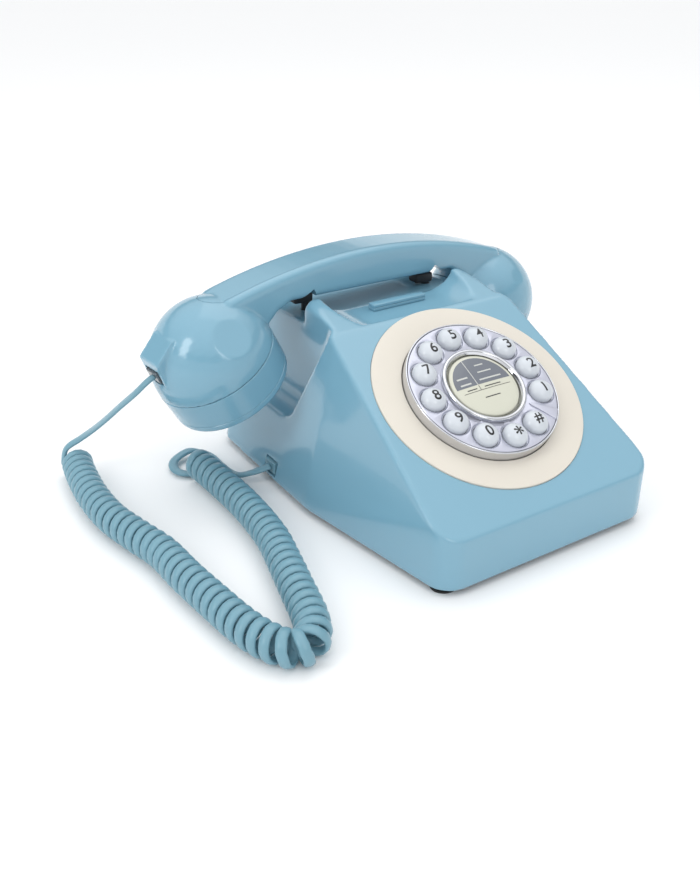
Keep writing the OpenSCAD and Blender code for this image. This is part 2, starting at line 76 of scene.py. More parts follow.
def place(x, y, z):
    """A point in the frame from the case's own millimetres."""
    return Vector((MIDDLE_X + x * MM, FRONT_Y + y * MM, z * MM))


def middle(node):
    low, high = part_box(node)
    return (low + high) / 2


HANDSET_Y = (middle("handset_shell").y - FRONT_Y) / MM
print("the handset lies", round(HANDSET_Y), "mm behind the apron")

# %% [markdown]
# ## Working by hand, in code
# Every operator acts on what is selected, so each step first puts everything down and then
# picks up one piece. These helpers are the bench tools of the lesson: pick up, cut one piece
# with another, round an edge, and settle a piece where it belongs with its place in its mesh.

# %% Bench tools
def put_down():
    if bpy.context.object and bpy.context.object.mode != "OBJECT":
        bpy.ops.object.mode_set(mode="OBJECT")
    bpy.ops.object.select_all(action="DESELECT")


def pick_up(*pieces):
    put_down()
    for piece in pieces:
        piece.select_set(True)
    bpy.context.view_layer.objects.active = pieces[0]
    return pieces[0]


def rename(piece, name):
    piece.name = piece.data.name = name
    return piece


def named(name):
    """Names the piece that was just made."""
    return rename(bpy.context.object, name)


def settle(piece, place_and_turn=None):
    """Puts a finished piece where it belongs and writes that place into its mesh."""
    if place_and_turn is not None:
        piece.matrix_world = place_and_turn
    pick_up(piece)
    bpy.ops.object.transform_apply(location=True, rotation=True, scale=True)
    return piece


def apply_modifier(piece, kind, **settings):
    pick_up(piece)
    modifier = piece.modifiers.new(kind.lower(), kind)
    for name, value in settings.items():
        setattr(modifier, name, value)
    bpy.ops.object.modifier_apply(modifier=modifier.name)
    return piece


def combine(piece, tool, operation="DIFFERENCE"):
    """Cuts a piece with a tool, or joins the tool to it, and throws the tool away."""
    apply_modifier(piece, "BOOLEAN", operation=operation, object=tool, solver="EXACT")
    bpy.data.objects.remove(tool)
    return piece


def round_edges(piece, width, segments=3, angle=35):
    """Rounds every edge that is sharper than the angle."""
    return apply_modifier(piece, "BEVEL", width=width * MM, segments=segments,
        limit_method="ANGLE", angle_limit=math.radians(angle), harden_normals=False)


def smooth(piece, angle=35):
    pick_up(piece)
    bpy.ops.object.shade_smooth_by_angle(angle=math.radians(angle))
    return piece


def copy_of(piece, name):
    other = piece.copy()
    other.data = piece.data.copy()
    bpy.context.scene.collection.objects.link(rename(other, name))
    return other


def mould(piece, voxel, passes):
    """Melts a built-up shape into one skin whose edges are all softly rounded."""
    piece.data.remesh_voxel_size = voxel * MM
    pick_up(piece)
    bpy.ops.object.voxel_remesh()
    return apply_modifier(piece, "SMOOTH", factor=0.5, iterations=passes)


print("the bench has tools to cut, join, round, smooth, copy and melt pieces")

# %% [markdown]
# ## Turning on the lathe
# Rings, domes, caps and buttons are round, so each is turned from its profile. A plane is
# merged to one point, the point is extruded along the profile, and the line is spun round.
# A profile that ends where it started gives a closed ring.

# %% Lathe
def face_outwards():
    bpy.ops.mesh.select_all(action="SELECT")
    bpy.ops.mesh.normals_make_consistent(inside=False)
    bpy.ops.object.mode_set(mode="OBJECT")


def lathe(name, profile, steps=96):
    """A round piece about the vertical axis, from (radius, height) pairs in millimetres."""
    put_down()
    bpy.ops.mesh.primitive_plane_add(size=MM, location=(0, 0, 0))
    piece = named(name)
    bpy.ops.object.mode_set(mode="EDIT")
    bpy.ops.mesh.merge(type="CENTER")
    here = Vector((0, 0, 0))
    for i, (radius, height) in enumerate(profile):
        there = Vector((radius, 0, height)) * MM
        if i:
            bpy.ops.mesh.extrude_region_move(TRANSFORM_OT_translate={"value": there - here})
        else:
            bpy.ops.transform.translate(value=there - here)
        here = there
    bpy.ops.mesh.select_all(action="SELECT")
    bpy.ops.mesh.spin(steps=steps, angle=2 * math.pi, center=(0, 0, 0), axis=(0, 0, 1))
    bpy.ops.mesh.select_all(action="SELECT")
    bpy.ops.mesh.remove_doubles(threshold=0.00001)
    face_outwards()
    return piece


def arc(middle_r, middle_h, r, first, last, steps=5):
    """Points of a profile's round corner."""
    turns = [math.radians(first + (last - first) * k / steps) for k in range(steps + 1)]
    return [(middle_r + r * math.cos(t), middle_h + r * math.sin(t)) for t in turns]


def closed(profile):
    return profile + [profile[0]]


print("a corner of radius 1 has", len(arc(0, 0, 1, 0, 90)), "points")

# %% [markdown]
# ## Blocks and slabs
# What isn't round starts as a block, or as an outline that is drawn flat and pulled to its
# thickness. The outline starts as a filled circle with as many corners as it needs, whose
# corners are then moved to their places.

# %% Blocks and slabs
def block(name, centre, size):
    """A block by its centre and its size, in metres."""
    put_down()
    bpy.ops.mesh.primitive_cube_add(size=1, location=centre)
    piece = named(name)
    piece.scale = size
    return settle(piece)


def box_of(name, low, high):
    """A block between two corners, in the case's millimetres."""
    low, high = place(*low), place(*high)
    return block(name, (low + high) / 2, high - low)


def pulled(name, corners, pull):
    """A flat outline, pulled to a solid."""
    put_down()
    bpy.ops.mesh.primitive_circle_add(vertices=len(corners), radius=MM, fill_type="NGON")
    piece = named(name)
    for point, corner in zip(piece.data.vertices, corners):
        point.co = corner
    pick_up(piece)
    bpy.ops.object.mode_set(mode="EDIT")
    bpy.ops.mesh.select_all(action="SELECT")
    bpy.ops.mesh.extrude_region_move(TRANSFORM_OT_translate={"value": pull})
    face_outwards()
    return piece


def slab(name, outline, low, high, along="X"):
    """An outline drawn square to the X or the Y direction, and pulled from low to high."""
    def spot(a, b, c):
        return place(c, a, b) if along == "X" else place(a, c, b)

    return pulled(name, [spot(a, b, low) for a, b in outline],
        spot(0, 0, high) - spot(0, 0, low))


print("case millimetre 0, 0, 0 is at", [round(v, 4) for v in place(0, 0, 0)], "m")

# %% [markdown]
# ## Finishes
# Real mouldings are never one flat colour: the pigment drifts a little, the polish of the
# mould is not even, and the skin has a faint orange-peel ripple. Each finish mixes two close
# colours with a large soft noise, varies its roughness with another, and adds a fine bump.
# The patterns read Object coordinates, which are metres here, so the scales are real.

# %% Finish maker
def finish(name, colour, drift=0.04, drift_scale=18, rough=(0.16, 0.24), ripple=0.02,
        ripple_scale=900, metal=0.0, coat=0.0, coat_rough=0.05, ior=1.5, sheen=0.0, clear=0.0):
    """A plastic, rubber or metal with gentle unevenness. The colour drifts by a small share."""
    made = bpy.data.materials.new(name)
    made.use_nodes = True
    tree = made.node_tree
    shader = tree.nodes["Principled BSDF"]
    where = tree.nodes.new("ShaderNodeTexCoord")

    def noise(scale, detail):
        node = tree.nodes.new("ShaderNodeTexNoise")
        node.inputs["Scale"].default_value = scale
        node.inputs["Detail"].default_value = detail
        tree.links.new(where.outputs["Object"], node.inputs["Vector"])
        return node

    cloud = noise(drift_scale, 3)
    mix = tree.nodes.new("ShaderNodeMix")
    mix.data_type = "RGBA"
    mix.inputs["A"].default_value = (*[c * (1 - drift) for c in colour], 1)
    mix.inputs["B"].default_value = (*[min(c * (1 + drift), 1) for c in colour], 1)
    tree.links.new(cloud.outputs["Fac"], mix.inputs["Factor"])
    tree.links.new(mix.outputs["Result"], shader.inputs["Base Color"])
    polish = noise(drift_scale * 5, 4)
    span = tree.nodes.new("ShaderNodeMapRange")
    span.inputs["From Min"].default_value, span.inputs["From Max"].default_value = 0.3, 0.7
    span.inputs["To Min"].default_value, span.inputs["To Max"].default_value = rough
    tree.links.new(polish.outputs["Fac"], span.inputs["Value"])
    tree.links.new(span.outputs["Result"], shader.inputs["Roughness"])
    if ripple:
        skin = noise(ripple_scale, 2)
        bump = tree.nodes.new("ShaderNodeBump")
        bump.inputs["Strength"].default_value = ripple
        bump.inputs["Distance"].default_value = 0.0004
        tree.links.new(skin.outputs["Fac"], bump.inputs["Height"])
        tree.links.new(bump.outputs["Normal"], shader.inputs["Normal"])
    shader.inputs["Metallic"].default_value = metal
    shader.inputs["IOR"].default_value = ior
    shader.inputs["Coat Weight"].default_value = coat
    shader.inputs["Coat Roughness"].default_value = coat_rough
    shader.inputs["Sheen Weight"].default_value = sheen
    shader.inputs["Transmission Weight"].default_value = clear
    return made


def paint(piece, made):
    """Gives a piece its finish through its material slots."""
    piece.data.materials.clear()
    piece.data.materials.append(made)
    return piece


BEHAVIOUR = frame["record"]["behaviour"]
BODY_OF = {node: body for body, its in BEHAVIOUR["bodies"].items() for node in its}


def stand_for(piece, node):
    """The piece shows in the place of a CAD node and moves as that node does."""
    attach(piece, BODY_OF[node])
    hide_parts(node)


BLUE = (0.19, 0.385, 0.50)
body_plastic = finish("blue_body_plastic", BLUE, drift=0.03, drift_scale=14, rough=(0.16, 0.22),
    ripple=0.010, ripple_scale=420, coat=0.4, coat_rough=0.04)
cream_plastic = finish("cream_satin_plastic", (0.70, 0.655, 0.575), drift=0.025, drift_scale=25,
    rough=(0.38, 0.46), ripple=0.05, ripple_scale=1800)
chrome = finish("bright_chrome", (0.66, 0.67, 0.70), drift=0.02, drift_scale=60,
    rough=(0.05, 0.10), ripple=0.006, ripple_scale=700, metal=1.0)
plate_silver = finish("lilac_silver_lacquer", (0.53, 0.54, 0.63), drift=0.02, drift_scale=40,
    rough=(0.20, 0.27), ripple=0.01, ripple_scale=2500, metal=0.55, coat=0.5)
key_white = finish("pale_key_plastic", (0.60, 0.635, 0.68), drift=0.02, drift_scale=70,
    rough=(0.10, 0.16), ripple=0.008, ripple_scale=1500, coat=0.3)
ink_black = finish("black_second_shot_plastic", (0.012, 0.012, 0.014), drift=0.1,
    drift_scale=200, rough=(0.28, 0.36), ripple=0.02, ripple_scale=3000)
black_plastic = finish("black_grained_plastic", (0.018, 0.018, 0.02), drift=0.12,
    drift_scale=60, rough=(0.42, 0.55), ripple=0.25, ripple_scale=2600)
rubber = finish("black_rubber", (0.012, 0.012, 0.012), drift=0.2, drift_scale=150,
    rough=(0.6, 0.75), ripple=0.3, ripple_scale=3500)
steel = finish("zinc_plated_steel", (0.50, 0.51, 0.53), drift=0.08, drift_scale=300,
    rough=(0.28, 0.42), ripple=0.06, ripple_scale=1500, metal=1.0)
board_green = finish("green_circuit_board", (0.02, 0.15, 0.06), drift=0.15, drift_scale=400,
    rough=(0.3, 0.4), ripple=0.1, ripple_scale=1200)
mat_grey = finish("grey_silicone_mat", (0.24, 0.24, 0.25), drift=0.06, drift_scale=120,
    rough=(0.55, 0.65), ripple=0.12, ripple_scale=2600)
button_cream = finish("ivory_button_plastic", (0.60, 0.60, 0.50), drift=0.02, drift_scale=60,
    rough=(0.12, 0.18), ripple=0.008, ripple_scale=1500, coat=0.4)
clear_plug = finish("smoke_clear_plastic", (0.30, 0.36, 0.40), drift=0.05, drift_scale=200,
    rough=(0.06, 0.12), ripple=0.02, ripple_scale=1500, clear=0.6, ior=1.49)
print("finishes:", len(bpy.data.materials))

# %% [markdown]
# ## The camera
# The camera stands in front of the telephone and to its left, at the height of a seated
# person's eyes. A long lens from further away would flatten the case, so the lens is moderate
# and the camera fairly near, which makes the mouthpiece end look big, as it does in life.

# %% Camera
CAMERA_TURN = math.radians(-33.44)
CAMERA_RISE = math.radians(27.71)
CAMERA_PLACE = place(-284.9, -265.1, 258.2)
backwards = Vector((
    math.sin(CAMERA_TURN) * math.cos(CAMERA_RISE),
    -math.cos(CAMERA_TURN) * math.cos(CAMERA_RISE),
    math.sin(CAMERA_RISE)))
bpy.ops.object.camera_add(location=CAMERA_PLACE)
camera = bpy.context.object
camera.name = "camera"
camera.rotation_mode = "QUATERNION"
camera.rotation_quaternion = (-backwards).to_track_quat("-Z", "Y")
camera.data.sensor_width = 36
camera.data.lens = 40.63
camera.data.clip_start = 0.01
bpy.context.scene.camera = camera
print("the camera is", round(CAMERA_PLACE.length, 3), "m from the middle of the floor")

# %% [markdown]
# ## The route of the cord
# The handset cord is a flat four-wire cord, 5 mm wide and 2.6 mm thick. Most of it is wound
# into a long spring that lies on the table in a hairpin, and both ends run out straight to
# their plugs. The three stretches follow the route of the CAD model's solids, and one smooth
# curve is drawn through each. Only near the two ends of the winding do the points leave the
# CAD model's by a few millimetres: the lead curls into the first turn from outside, and the
# last turn runs out along the table.

# %% Cord routes
LEAD_FROM_HANDSET = [
    (-127.3, 139.1, 70), (-131.2, 138.8, 68), (-135.5, 143, 62), (-139.5, 154, 52),
    (-143, 168, 40), (-146, 182, 29), (-150, 191, 21.5), (-156, 196, 15.5), (-158.6, 195.3, 8.4)]
COIL_ROUTE = [
    (-152, 194, 8.4), (-155, 180, 8.4), (-158, 156, 8.4), (-158, 131, 8.4), (-154, 109, 8.4),
    (-150, 90, 8.4), (-149, 68, 8.4), (-147, 45, 8.4), (-145, 26, 8.4), (-142, 13, 8.4),
    (-137, 3, 8.4), (-130, 0, 8.4), (-124, 5, 8.4), (-119, 16, 8.4), (-114, 34, 8.4),
    (-109, 52, 8.4), (-103, 76, 8.4), (-100, 106, 8.4), (-100, 138, 8.4), (-101, 158, 8.4)]
LEAD_TO_CASE = [
    (-101, 158, 1.9), (-107, 160.6, 2.2), (-109.5, 167, 2.6), (-106, 175, 3), (-96, 179, 4),
    (-90, 178, 2), (-87, 171, 1.8), (-87, 160, 1.8), (-87, 149, 2.4), (-85.6, 140, 4.4),
    (-80, 133.6, 7.6), (-72.2, 132, 9.2)]
CORD_WIDTH = 5.0
CORD_THICKNESS = 2.6
COIL_RADIUS = 6.7
COIL_TURNS = 62
POINTS_A_TURN = 16
LEAD_STEPS, COIL_STEPS = 6, 10


def curve_through(points, steps):
    """Points on a smooth curve through the given ones, with `steps` to each stretch."""
    given = [place(*p) for p in points]
    line = []
    for i in range(len(given) - 1):
        before, start = given[max(i - 1, 0)], given[i]
        end, after = given[i + 1], given[min(i + 2, len(given) - 1)]
        for k in range(steps):
            t = k / steps
            line.append(0.5 * (2 * start + (end - before) * t
                + (2 * before - 5 * start + 4 * end - after) * t * t
                + (3 * start - before - 3 * end + after) * t ** 3))
    return line + [given[-1]]


def lengths_along(line):
    total = [0.0]
    for a, b in zip(line, line[1:]):
        total.append(total[-1] + (b - a).length)
    return total


def point_at(line, along, where):
    """The point and the direction of a line at a distance from its start."""
    i = 0
    while i < len(line) - 2 and along[i + 1] < where:
        i += 1
    share = (where - along[i]) / max(along[i + 1] - along[i], 1e-9)
    ahead, behind = line[min(i + 2, len(line) - 1)], line[max(i - 1, 0)]
    return line[i].lerp(line[i + 1], share), (ahead - behind).normalized()


def eased(t):
    t = min(max(t, 0), 1)
    return t * t * (3 - 2 * t)


coil_line = curve_through(COIL_ROUTE, COIL_STEPS)
coil_along = lengths_along(coil_line)
coil_long = coil_along[-1]
print("the wound stretch lies along", round(coil_long, 3), "m of table")

# %% [markdown]
# ## Winding the cord
# A helix is a point that walks along the route while it goes round it. The straight ends
# meet the first and the last turn along the turn's own direction, so there is no kink. Each
# point also remembers which way the flat side of the cord faces: along the route while the
# cord is wound, and turning slowly where it runs straight. The last quarter of a turn brings
# the winding down to the table.

# %% Cord line
FLAT_SETTLES = 12
lead_in = curve_through(LEAD_FROM_HANDSET, LEAD_STEPS)[:-1]
lead_out = curve_through(LEAD_TO_CASE, LEAD_STEPS)[1:]
turn_points = COIL_TURNS * POINTS_A_TURN + POINTS_A_TURN // 4
reach = COIL_RADIUS * MM
winding, winding_flat = [], []
for k in range(turn_points + 1):
    share = k / turn_points
    spot, forward = point_at(coil_line, coil_along, share * coil_long)
    side = Vector((0, 0, 1)).cross(forward).normalized()
    up = forward.cross(side)
    around = math.pi + 2 * math.pi * k / POINTS_A_TURN
    winding.append(spot + reach * (math.cos(around) * side + math.sin(around) * up))
    winding_flat.append(forward)
cord_line = lead_in + winding + lead_out
table_end = len(cord_line) - len(lead_out)
flat_known = [None] * len(lead_in) + winding_flat + [None] * len(lead_out)


def carry_flat(known, line, order):
    """Carries the flat side's direction from the winding out along a straight end."""
    last = None
    for i in order:
        if known[i] is not None:
            last = known[i]
            continue
        along = (line[min(i + 1, len(line) - 1)] - line[max(i - 1, 0)]).normalized()
        last = (last - last.dot(along) * along).normalized()
        known[i] = last


carry_flat(flat_known, cord_line, range(len(lead_in) + 1, -1, -1))
carry_flat(flat_known, cord_line, range(table_end - 1, len(cord_line)))
for i in range(table_end, len(cord_line)):
    # the end that runs over the table lies flat on it
    along = (cord_line[min(i + 1, len(cord_line) - 1)] - cord_line[i - 1]).normalized()
    level = Vector((0, 0, 1)).cross(along).normalized()
    if level.dot(flat_known[i]) < 0:
        level.negate()
    share = eased((i - table_end) / FLAT_SETTLES)
    flat_known[i] = flat_known[i].lerp(level, share).normalized()

# %% [markdown]
# ## The cord's surface
# Rings of points are laid square to the line and joined to a tube. The ring is a flattened
# round. The tube gets a UV map with its length in one direction, so a finish can run along
# the cord however it curls.

# %% Cord mesh
RING_POINTS = 10


def flat_tube(name, line, flats, width, thickness):
    points, faces = [], []
    for i, spot in enumerate(line):
        along = (line[min(i + 1, len(line) - 1)] - line[max(i - 1, 0)]).normalized()
        wide = (flats[i] - flats[i].dot(along) * along).normalized()
        thin = along.cross(wide)
        for k in range(RING_POINTS):
            a = 2 * math.pi * k / RING_POINTS
            points.append(spot + wide * math.cos(a) * width / 2
                + thin * math.sin(a) * thickness / 2)
    for i in range(len(line) - 1):
        for k in range(RING_POINTS):
            a, b = i * RING_POINTS + k, i * RING_POINTS + (k + 1) % RING_POINTS
            faces.append((a, b, b + RING_POINTS, a + RING_POINTS))
    faces.append(tuple(range(RING_POINTS - 1, -1, -1)))
    faces.append(tuple((len(line) - 1) * RING_POINTS + k for k in range(RING_POINTS)))
    mesh = bpy.data.meshes.new(name)
    mesh.from_pydata(points, [], faces)
    mesh.update()
    uv = mesh.uv_layers.new(name="along")
    far = lengths_along(line)
    for polygon in mesh.polygons:
        for corner in polygon.loop_indices:
            ring, k = divmod(mesh.loops[corner].vertex_index, RING_POINTS)
            uv.data[corner].uv = (far[ring], k / RING_POINTS)
    piece = bpy.data.objects.new(name, mesh)
    bpy.context.scene.collection.objects.link(piece)
    for polygon in mesh.polygons:
        polygon.use_smooth = True
    return piece


curly_cord = flat_tube("curly_cord", cord_line, flat_known,
    CORD_WIDTH * MM, CORD_THICKNESS * MM)
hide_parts("cord_lead_handset", "cord_coil", "cord_lead_base")
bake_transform(curly_cord)
cord_teal = finish("teal_cord_vinyl", (0.17, 0.34, 0.42), drift=0.05, drift_scale=40,
    rough=(0.30, 0.42), ripple=0.08, ripple_scale=2200, coat=0.1, coat_rough=0.25)
paint(curly_cord, cord_teal)
print("the cord has", len(curly_cord.data.polygons), "faces")

# %% [markdown]
# ## The case
# The case is one injection moulding: a wedge with a sloping face, two horns, scooped sides
# where the handset's ends hang, and a valley between the horns for the fingers. Moulded
# plastic has no sharp edge anywhere. So the block and its cuts are built crisp first, melted
# into one skin by a voxel remesh and smoothed, and the fine openings are cut last, so that
# they stay crisp.

# %% Face and block helpers
key_push = {j["name"]: Vector(j["axis"]) for j in BEHAVIOUR["joints"]}["key_1_press"]
FACE_ANGLE = math.atan2(key_push.y, -key_push.z)
APRON_TOP = 28
DIAL_RUN = 65.5


def on_face(x=0, run=DIAL_RUN, rise=0):
    """A place on the sloping face: across, up the slope and out of it, with Z outwards."""
    foot = place(x, run * math.cos(FACE_ANGLE), APRON_TOP + run * math.sin(FACE_ANGLE))
    return (Matrix.Translation(foot) @ Matrix.Rotation(FACE_ANGLE, 4, "X")
        @ Matrix.Translation((0, 0, rise * MM)))


def upright(x, y, z):
    return Matrix.Translation(place(x, y, z))


def rod(where, r, h, sides=48):
    """A round bar that starts at a place and runs along its Z."""
    put_down()
    bpy.ops.mesh.primitive_cylinder_add(vertices=sides, radius=r * MM, depth=h * MM)
    return settle(named("rod"), where @ Matrix.Translation((0, 0, h * MM / 2)))


def ball(x, y, z, r):
    put_down()
    bpy.ops.mesh.primitive_uv_sphere_add(segments=32, ring_count=16, radius=r * MM,
        location=place(x, y, z))
    return settle(named("ball"))


def joined(name, parts):
    pick_up(*parts)
    bpy.ops.object.join()
    return named(name)


def stretched_over(name, parts):
    """One skin pulled tight over several shapes."""
    piece = joined(name, parts)
    bpy.ops.object.mode_set(mode="EDIT")
    bpy.ops.mesh.select_all(action="SELECT")
    bpy.ops.mesh.convex_hull()
    face_outwards()
    return piece


print("the face slopes at", round(math.degrees(FACE_ANGLE)), "degrees")

# %% Case block
SHOULDER_RUN = 117
SHOULDER_Y = SHOULDER_RUN * math.cos(FACE_ANGLE)
SHOULDER_Z = APRON_TOP + SHOULDER_RUN * math.sin(FACE_ANGLE)
CASE_DEPTH = (case_high.y - case_low.y) / MM
TROUGH_FRONT, TROUGH_BACK, TROUGH_FLOOR = 132.1, 167.9, 82
DECK = 36
TOWER_HALF = 49.5
HORN_R = 6
APRON_R, WAIST_R, SHOULDER_R = 12, 24, 5
CLEAR_ABOVE = 116
CASE_WALL = 2.6


def case_block(inset):
    """The block before it is cut. With an inset it is the hollow, which starts lower down."""
    low = 1 if inset else 3
    parts = []
    for s in (-1, 1):
        parts += [
            rod(upright(s * 51, 12, low), APRON_R - inset, 1),
            rod(on_face(s * 50.7, 12, -1 - inset), APRON_R - inset, 1),
            rod(upright(s * 50, 95, low), WAIST_R - inset, 1),
            rod(upright(s * 59, CASE_DEPTH - 12, low), APRON_R - inset, 1),
            rod(on_face(s * (54.5 - 5), SHOULDER_RUN - 5, -1 - inset), SHOULDER_R - inset / 2, 1),
            ball(s * (TOWER_HALF - HORN_R), 132, 94 - HORN_R, HORN_R - inset),
            ball(s * (TOWER_HALF - HORN_R), 176, 90 - HORN_R, HORN_R - inset)]
    return stretched_over("case_block", parts)


def scoop_cutter(side, grow):
    foot, top = SHOULDER_Y + 24 - grow, SHOULDER_Y + 1 - grow
    outline = [(foot, DECK - grow), (top, SHOULDER_Z), (top - 6, CLEAR_ABOVE),
        (CASE_DEPTH + 20, CLEAR_ABOVE), (CASE_DEPTH + 20, DECK - grow)]
    near, far = side * (TOWER_HALF - grow), side * 110
    piece = slab("scoop", outline, min(near, far), max(near, far))
    return round_edges(piece, 5 if grow else 7, 5, 30)


def trough_cutter(grow):
    front, back, floor = TROUGH_FRONT - grow, TROUGH_BACK + grow, TROUGH_FLOOR - grow
    outline = [(front, floor), (back, floor), (back, CLEAR_ABOVE), (front, CLEAR_ABOVE)]
    return slab("trough", outline, -100, 100)


def valley_cutter(grow):
    half, floor = 41 + grow, 85 - grow
    wide, high = 17, 9
    turns = [math.radians(9 * k) for k in range(11)]
    sweep = [(half - wide + wide * math.sin(t), floor + high - high * math.cos(t)) for t in turns]
    outline = [(-x, z) for x, z in reversed(sweep)] + sweep
    outline += [(half + 1, CLEAR_ABOVE), (-half - 1, CLEAR_ABOVE)]
    return slab("valley", outline, SHOULDER_Y + 3 - grow, CASE_DEPTH + 20, "Y")


def case_form(inset):
    form = case_block(inset)
    cutters = (scoop_cutter(-1, inset), scoop_cutter(1, inset), trough_cutter(inset),
        valley_cutter(inset))
    for cutter in cutters:
        combine(form, cutter)
    return form


case_moulding = mould(case_form(0), 1.3, 9)
print("case skin:", len(case_moulding.data.polygons), "faces")

# %% [markdown]
# ## The case's openings
# The inside is the same form again, one wall thickness smaller, so the moulding has an even
# wall. The dial's seat is one stepped round cutter, and the plungers, the cord socket and
# the line socket each get their own clean hole. Four posts for the screws stand inside.

# %% Case openings
PLUNGER_X = 38
SEAT_LINE = [(0, -22), (40, -22), (40, -1), (53.2, -1), (53.2, 5), (0, 5)]
SCREW_POSTS = ((44, 24, 38), (62, CASE_DEPTH - 34, 17))
combine(case_moulding, case_form(CASE_WALL))
combine(case_moulding, settle(lathe("dial_seat", SEAT_LINE), on_face()))
holes = [rod(upright(s * PLUNGER_X, HANDSET_Y, TROUGH_FLOOR - 6), 2.6, 10) for s in (-1, 1)]
holes += [box_of("window", (-80, 126, 5.2), (-64, 138, 13.2)),
    box_of("line_window", (-8, 180, 8.2), (8, 200, 20.2))]
combine(case_moulding, joined("holes", holes))
for x, y, top in SCREW_POSTS:
    for s in (-1, 1):
        post = lathe("post", [(1.5, 5.2), (4, 5.2), (4, top), (1.5, top), (1.5, 5.2)], 24)
        settle(post, upright(s * x, y, 0))
        combine(case_moulding, post, "UNION")
rename(case_moulding, "case_moulding")
paint(smooth(case_moulding, 40), body_plastic)
stand_for(case_moulding, "case_shell")
print("case:", len(case_moulding.data.polygons), "faces")

# %% [markdown]
# ## Dial trim
# Round the dial lies a flat cream ring. Inside it stands a raised disc: a bright skirt with a
# thin lip, and within the lip a silvery plate, with a fine dark gap between the two. All of
# them are turned parts. A closed profile for each gives the small rounded edges that catch
# the light.

# %% Surround and skirt
def on_dial(name, profile, made, node, steps):
    piece = settle(lathe(name, profile, steps), on_face())
    paint(smooth(piece, 30), made)
    stand_for(piece, node)


CREAM_LINE = closed([(53, -1)] + arc(52.5, 0.3, 0.5, 0, 90)
    + arc(38.8, 0.3, 0.5, 90, 180) + [(38.3, -0.8), (40.2, -1)])
SKIRT_LINE = closed([(38.1, -1), (38.1, 5.1)] + arc(37.7, 5.6, 0.4, 0, 180, 8)
    + [(37.3, 4.3), (36.4, 4.3), (36.4, -1)])
RING_LINE = closed([(19.3, 4.5), (19.3, 5.95), (21.1, 5.95), (21.0, 6.6)]
    + arc(19.9, 6.9, 1.1, 15, 165, 10) + [(18.4, 6.5), (18.4, 4.5)])
on_dial("cream_ring", CREAM_LINE, cream_plastic, "dial_surround", 160)
on_dial("bright_skirt", SKIRT_LINE, chrome, "dial_rim", 160)
on_dial("ring_round_button", RING_LINE, chrome, "centre_ring", 128)
print("three rings turned")

# %% [markdown]
# ## The dial plate
# The plate is turned as a flat ring. Each key sits in its own shallow dish with a round hole
# in the middle, and between the first key and the last stands a raised pointer, left over
# from the finger stop of a rotary dial. The dishes and holes are cut with twelve copies of
# one turned cutter.

# %% Plate
KEY_NODES = ["key_1", "key_2", "key_3", "key_4", "key_5", "key_6", "key_7", "key_8", "key_9",
    "key_0", "key_star", "key_hash"]
KEY_RING, KEY_START, KEY_STEP = 29.2, -23.5, 29
DISH_R, DISH_LOW = 6.3, 5.35
POINTER_TURN = -44


def at_key(i):
    a = math.radians(KEY_START + i * KEY_STEP)
    spot = Matrix.Translation(Vector((math.cos(a), math.sin(a), 0)) * KEY_RING * MM)
    return on_face() @ spot


plate = lathe("dial_plate", closed([(19.5, 4.5), (37.05, 4.5), (37.05, 5.75), (36.9, 5.9)]
    + [(36.4, 6.0), (23.4, 6.0), (22.6, 5.75), (19.5, 5.75)]), 128)
settle(plate, on_face())
dish = [(0, 0), (DISH_R, 0), (DISH_R, DISH_LOW)]
dish += [(DISH_R + 0.145 * k, DISH_LOW + 0.75 * (k / 6) ** 2) for k in range(1, 7)]
dish += [(7.18, 8), (0, 8)]
key_dish = lathe("key_dish", dish, 48)
cutters = [settle(copy_of(key_dish, "cutter"), at_key(i)) for i in range(len(KEY_NODES))]
bpy.data.objects.remove(key_dish)
combine(plate, joined("dishes", cutters))
pointer_plan = [(22.6, 0), (24, 0.9), (30, 1.9), (37.0, 3.4), (37.0, -3.4), (30, -1.9), (24, -0.9)]
pointer = pulled("pointer", [Vector((x, y, 5.5)) * MM for x, y in pointer_plan],
    (0, 0, 1.25 * MM))
round_edges(pointer, 0.4, 3, 40)
settle(pointer, on_face() @ Matrix.Rotation(math.radians(POINTER_TURN), 4, "Z"))
combine(plate, pointer, "UNION")
round_edges(plate, 0.12, 2, 40)
rename(plate, "dial_plate")
paint(smooth(plate, 30), plate_silver)
stand_for(plate, "dial_faceplate")
print("plate:", len(plate.data.polygons), "faces")

# %% [markdown]
# ## Keys and their figures
# A key is a polished dome. On the real ones the figure is a second shot of black plastic
# that lies flush in the dome. Here each figure is a piece of text made solid, of which only
# the part inside a thin skin over the dome is kept, so it follows the curve exactly.

# %% Keys
KEY_R, KEY_FOOT_R = 5.9, 6.8
KEY_LOW = 4.4 - 1.8
FLANGE_TOP = KEY_LOW + 1.4
DOME_FOOT, DOME_TOP = 6.8, 10.6
FIGURES = "1234567890*#"
FIGURE_SIZE, STAR_SIZE = 7.6, 10.5
BOLDER, BOLDER_FOUR = 0.12, 0.03


def dome_line(lift, steps=10):
    rise = DOME_TOP - DOME_FOOT
    turns = [math.radians(90 * k / steps) for k in range(steps + 1)]
    return [((KEY_R + lift) * math.cos(t), DOME_FOOT + (rise + lift) * math.sin(t))
        for t in turns]


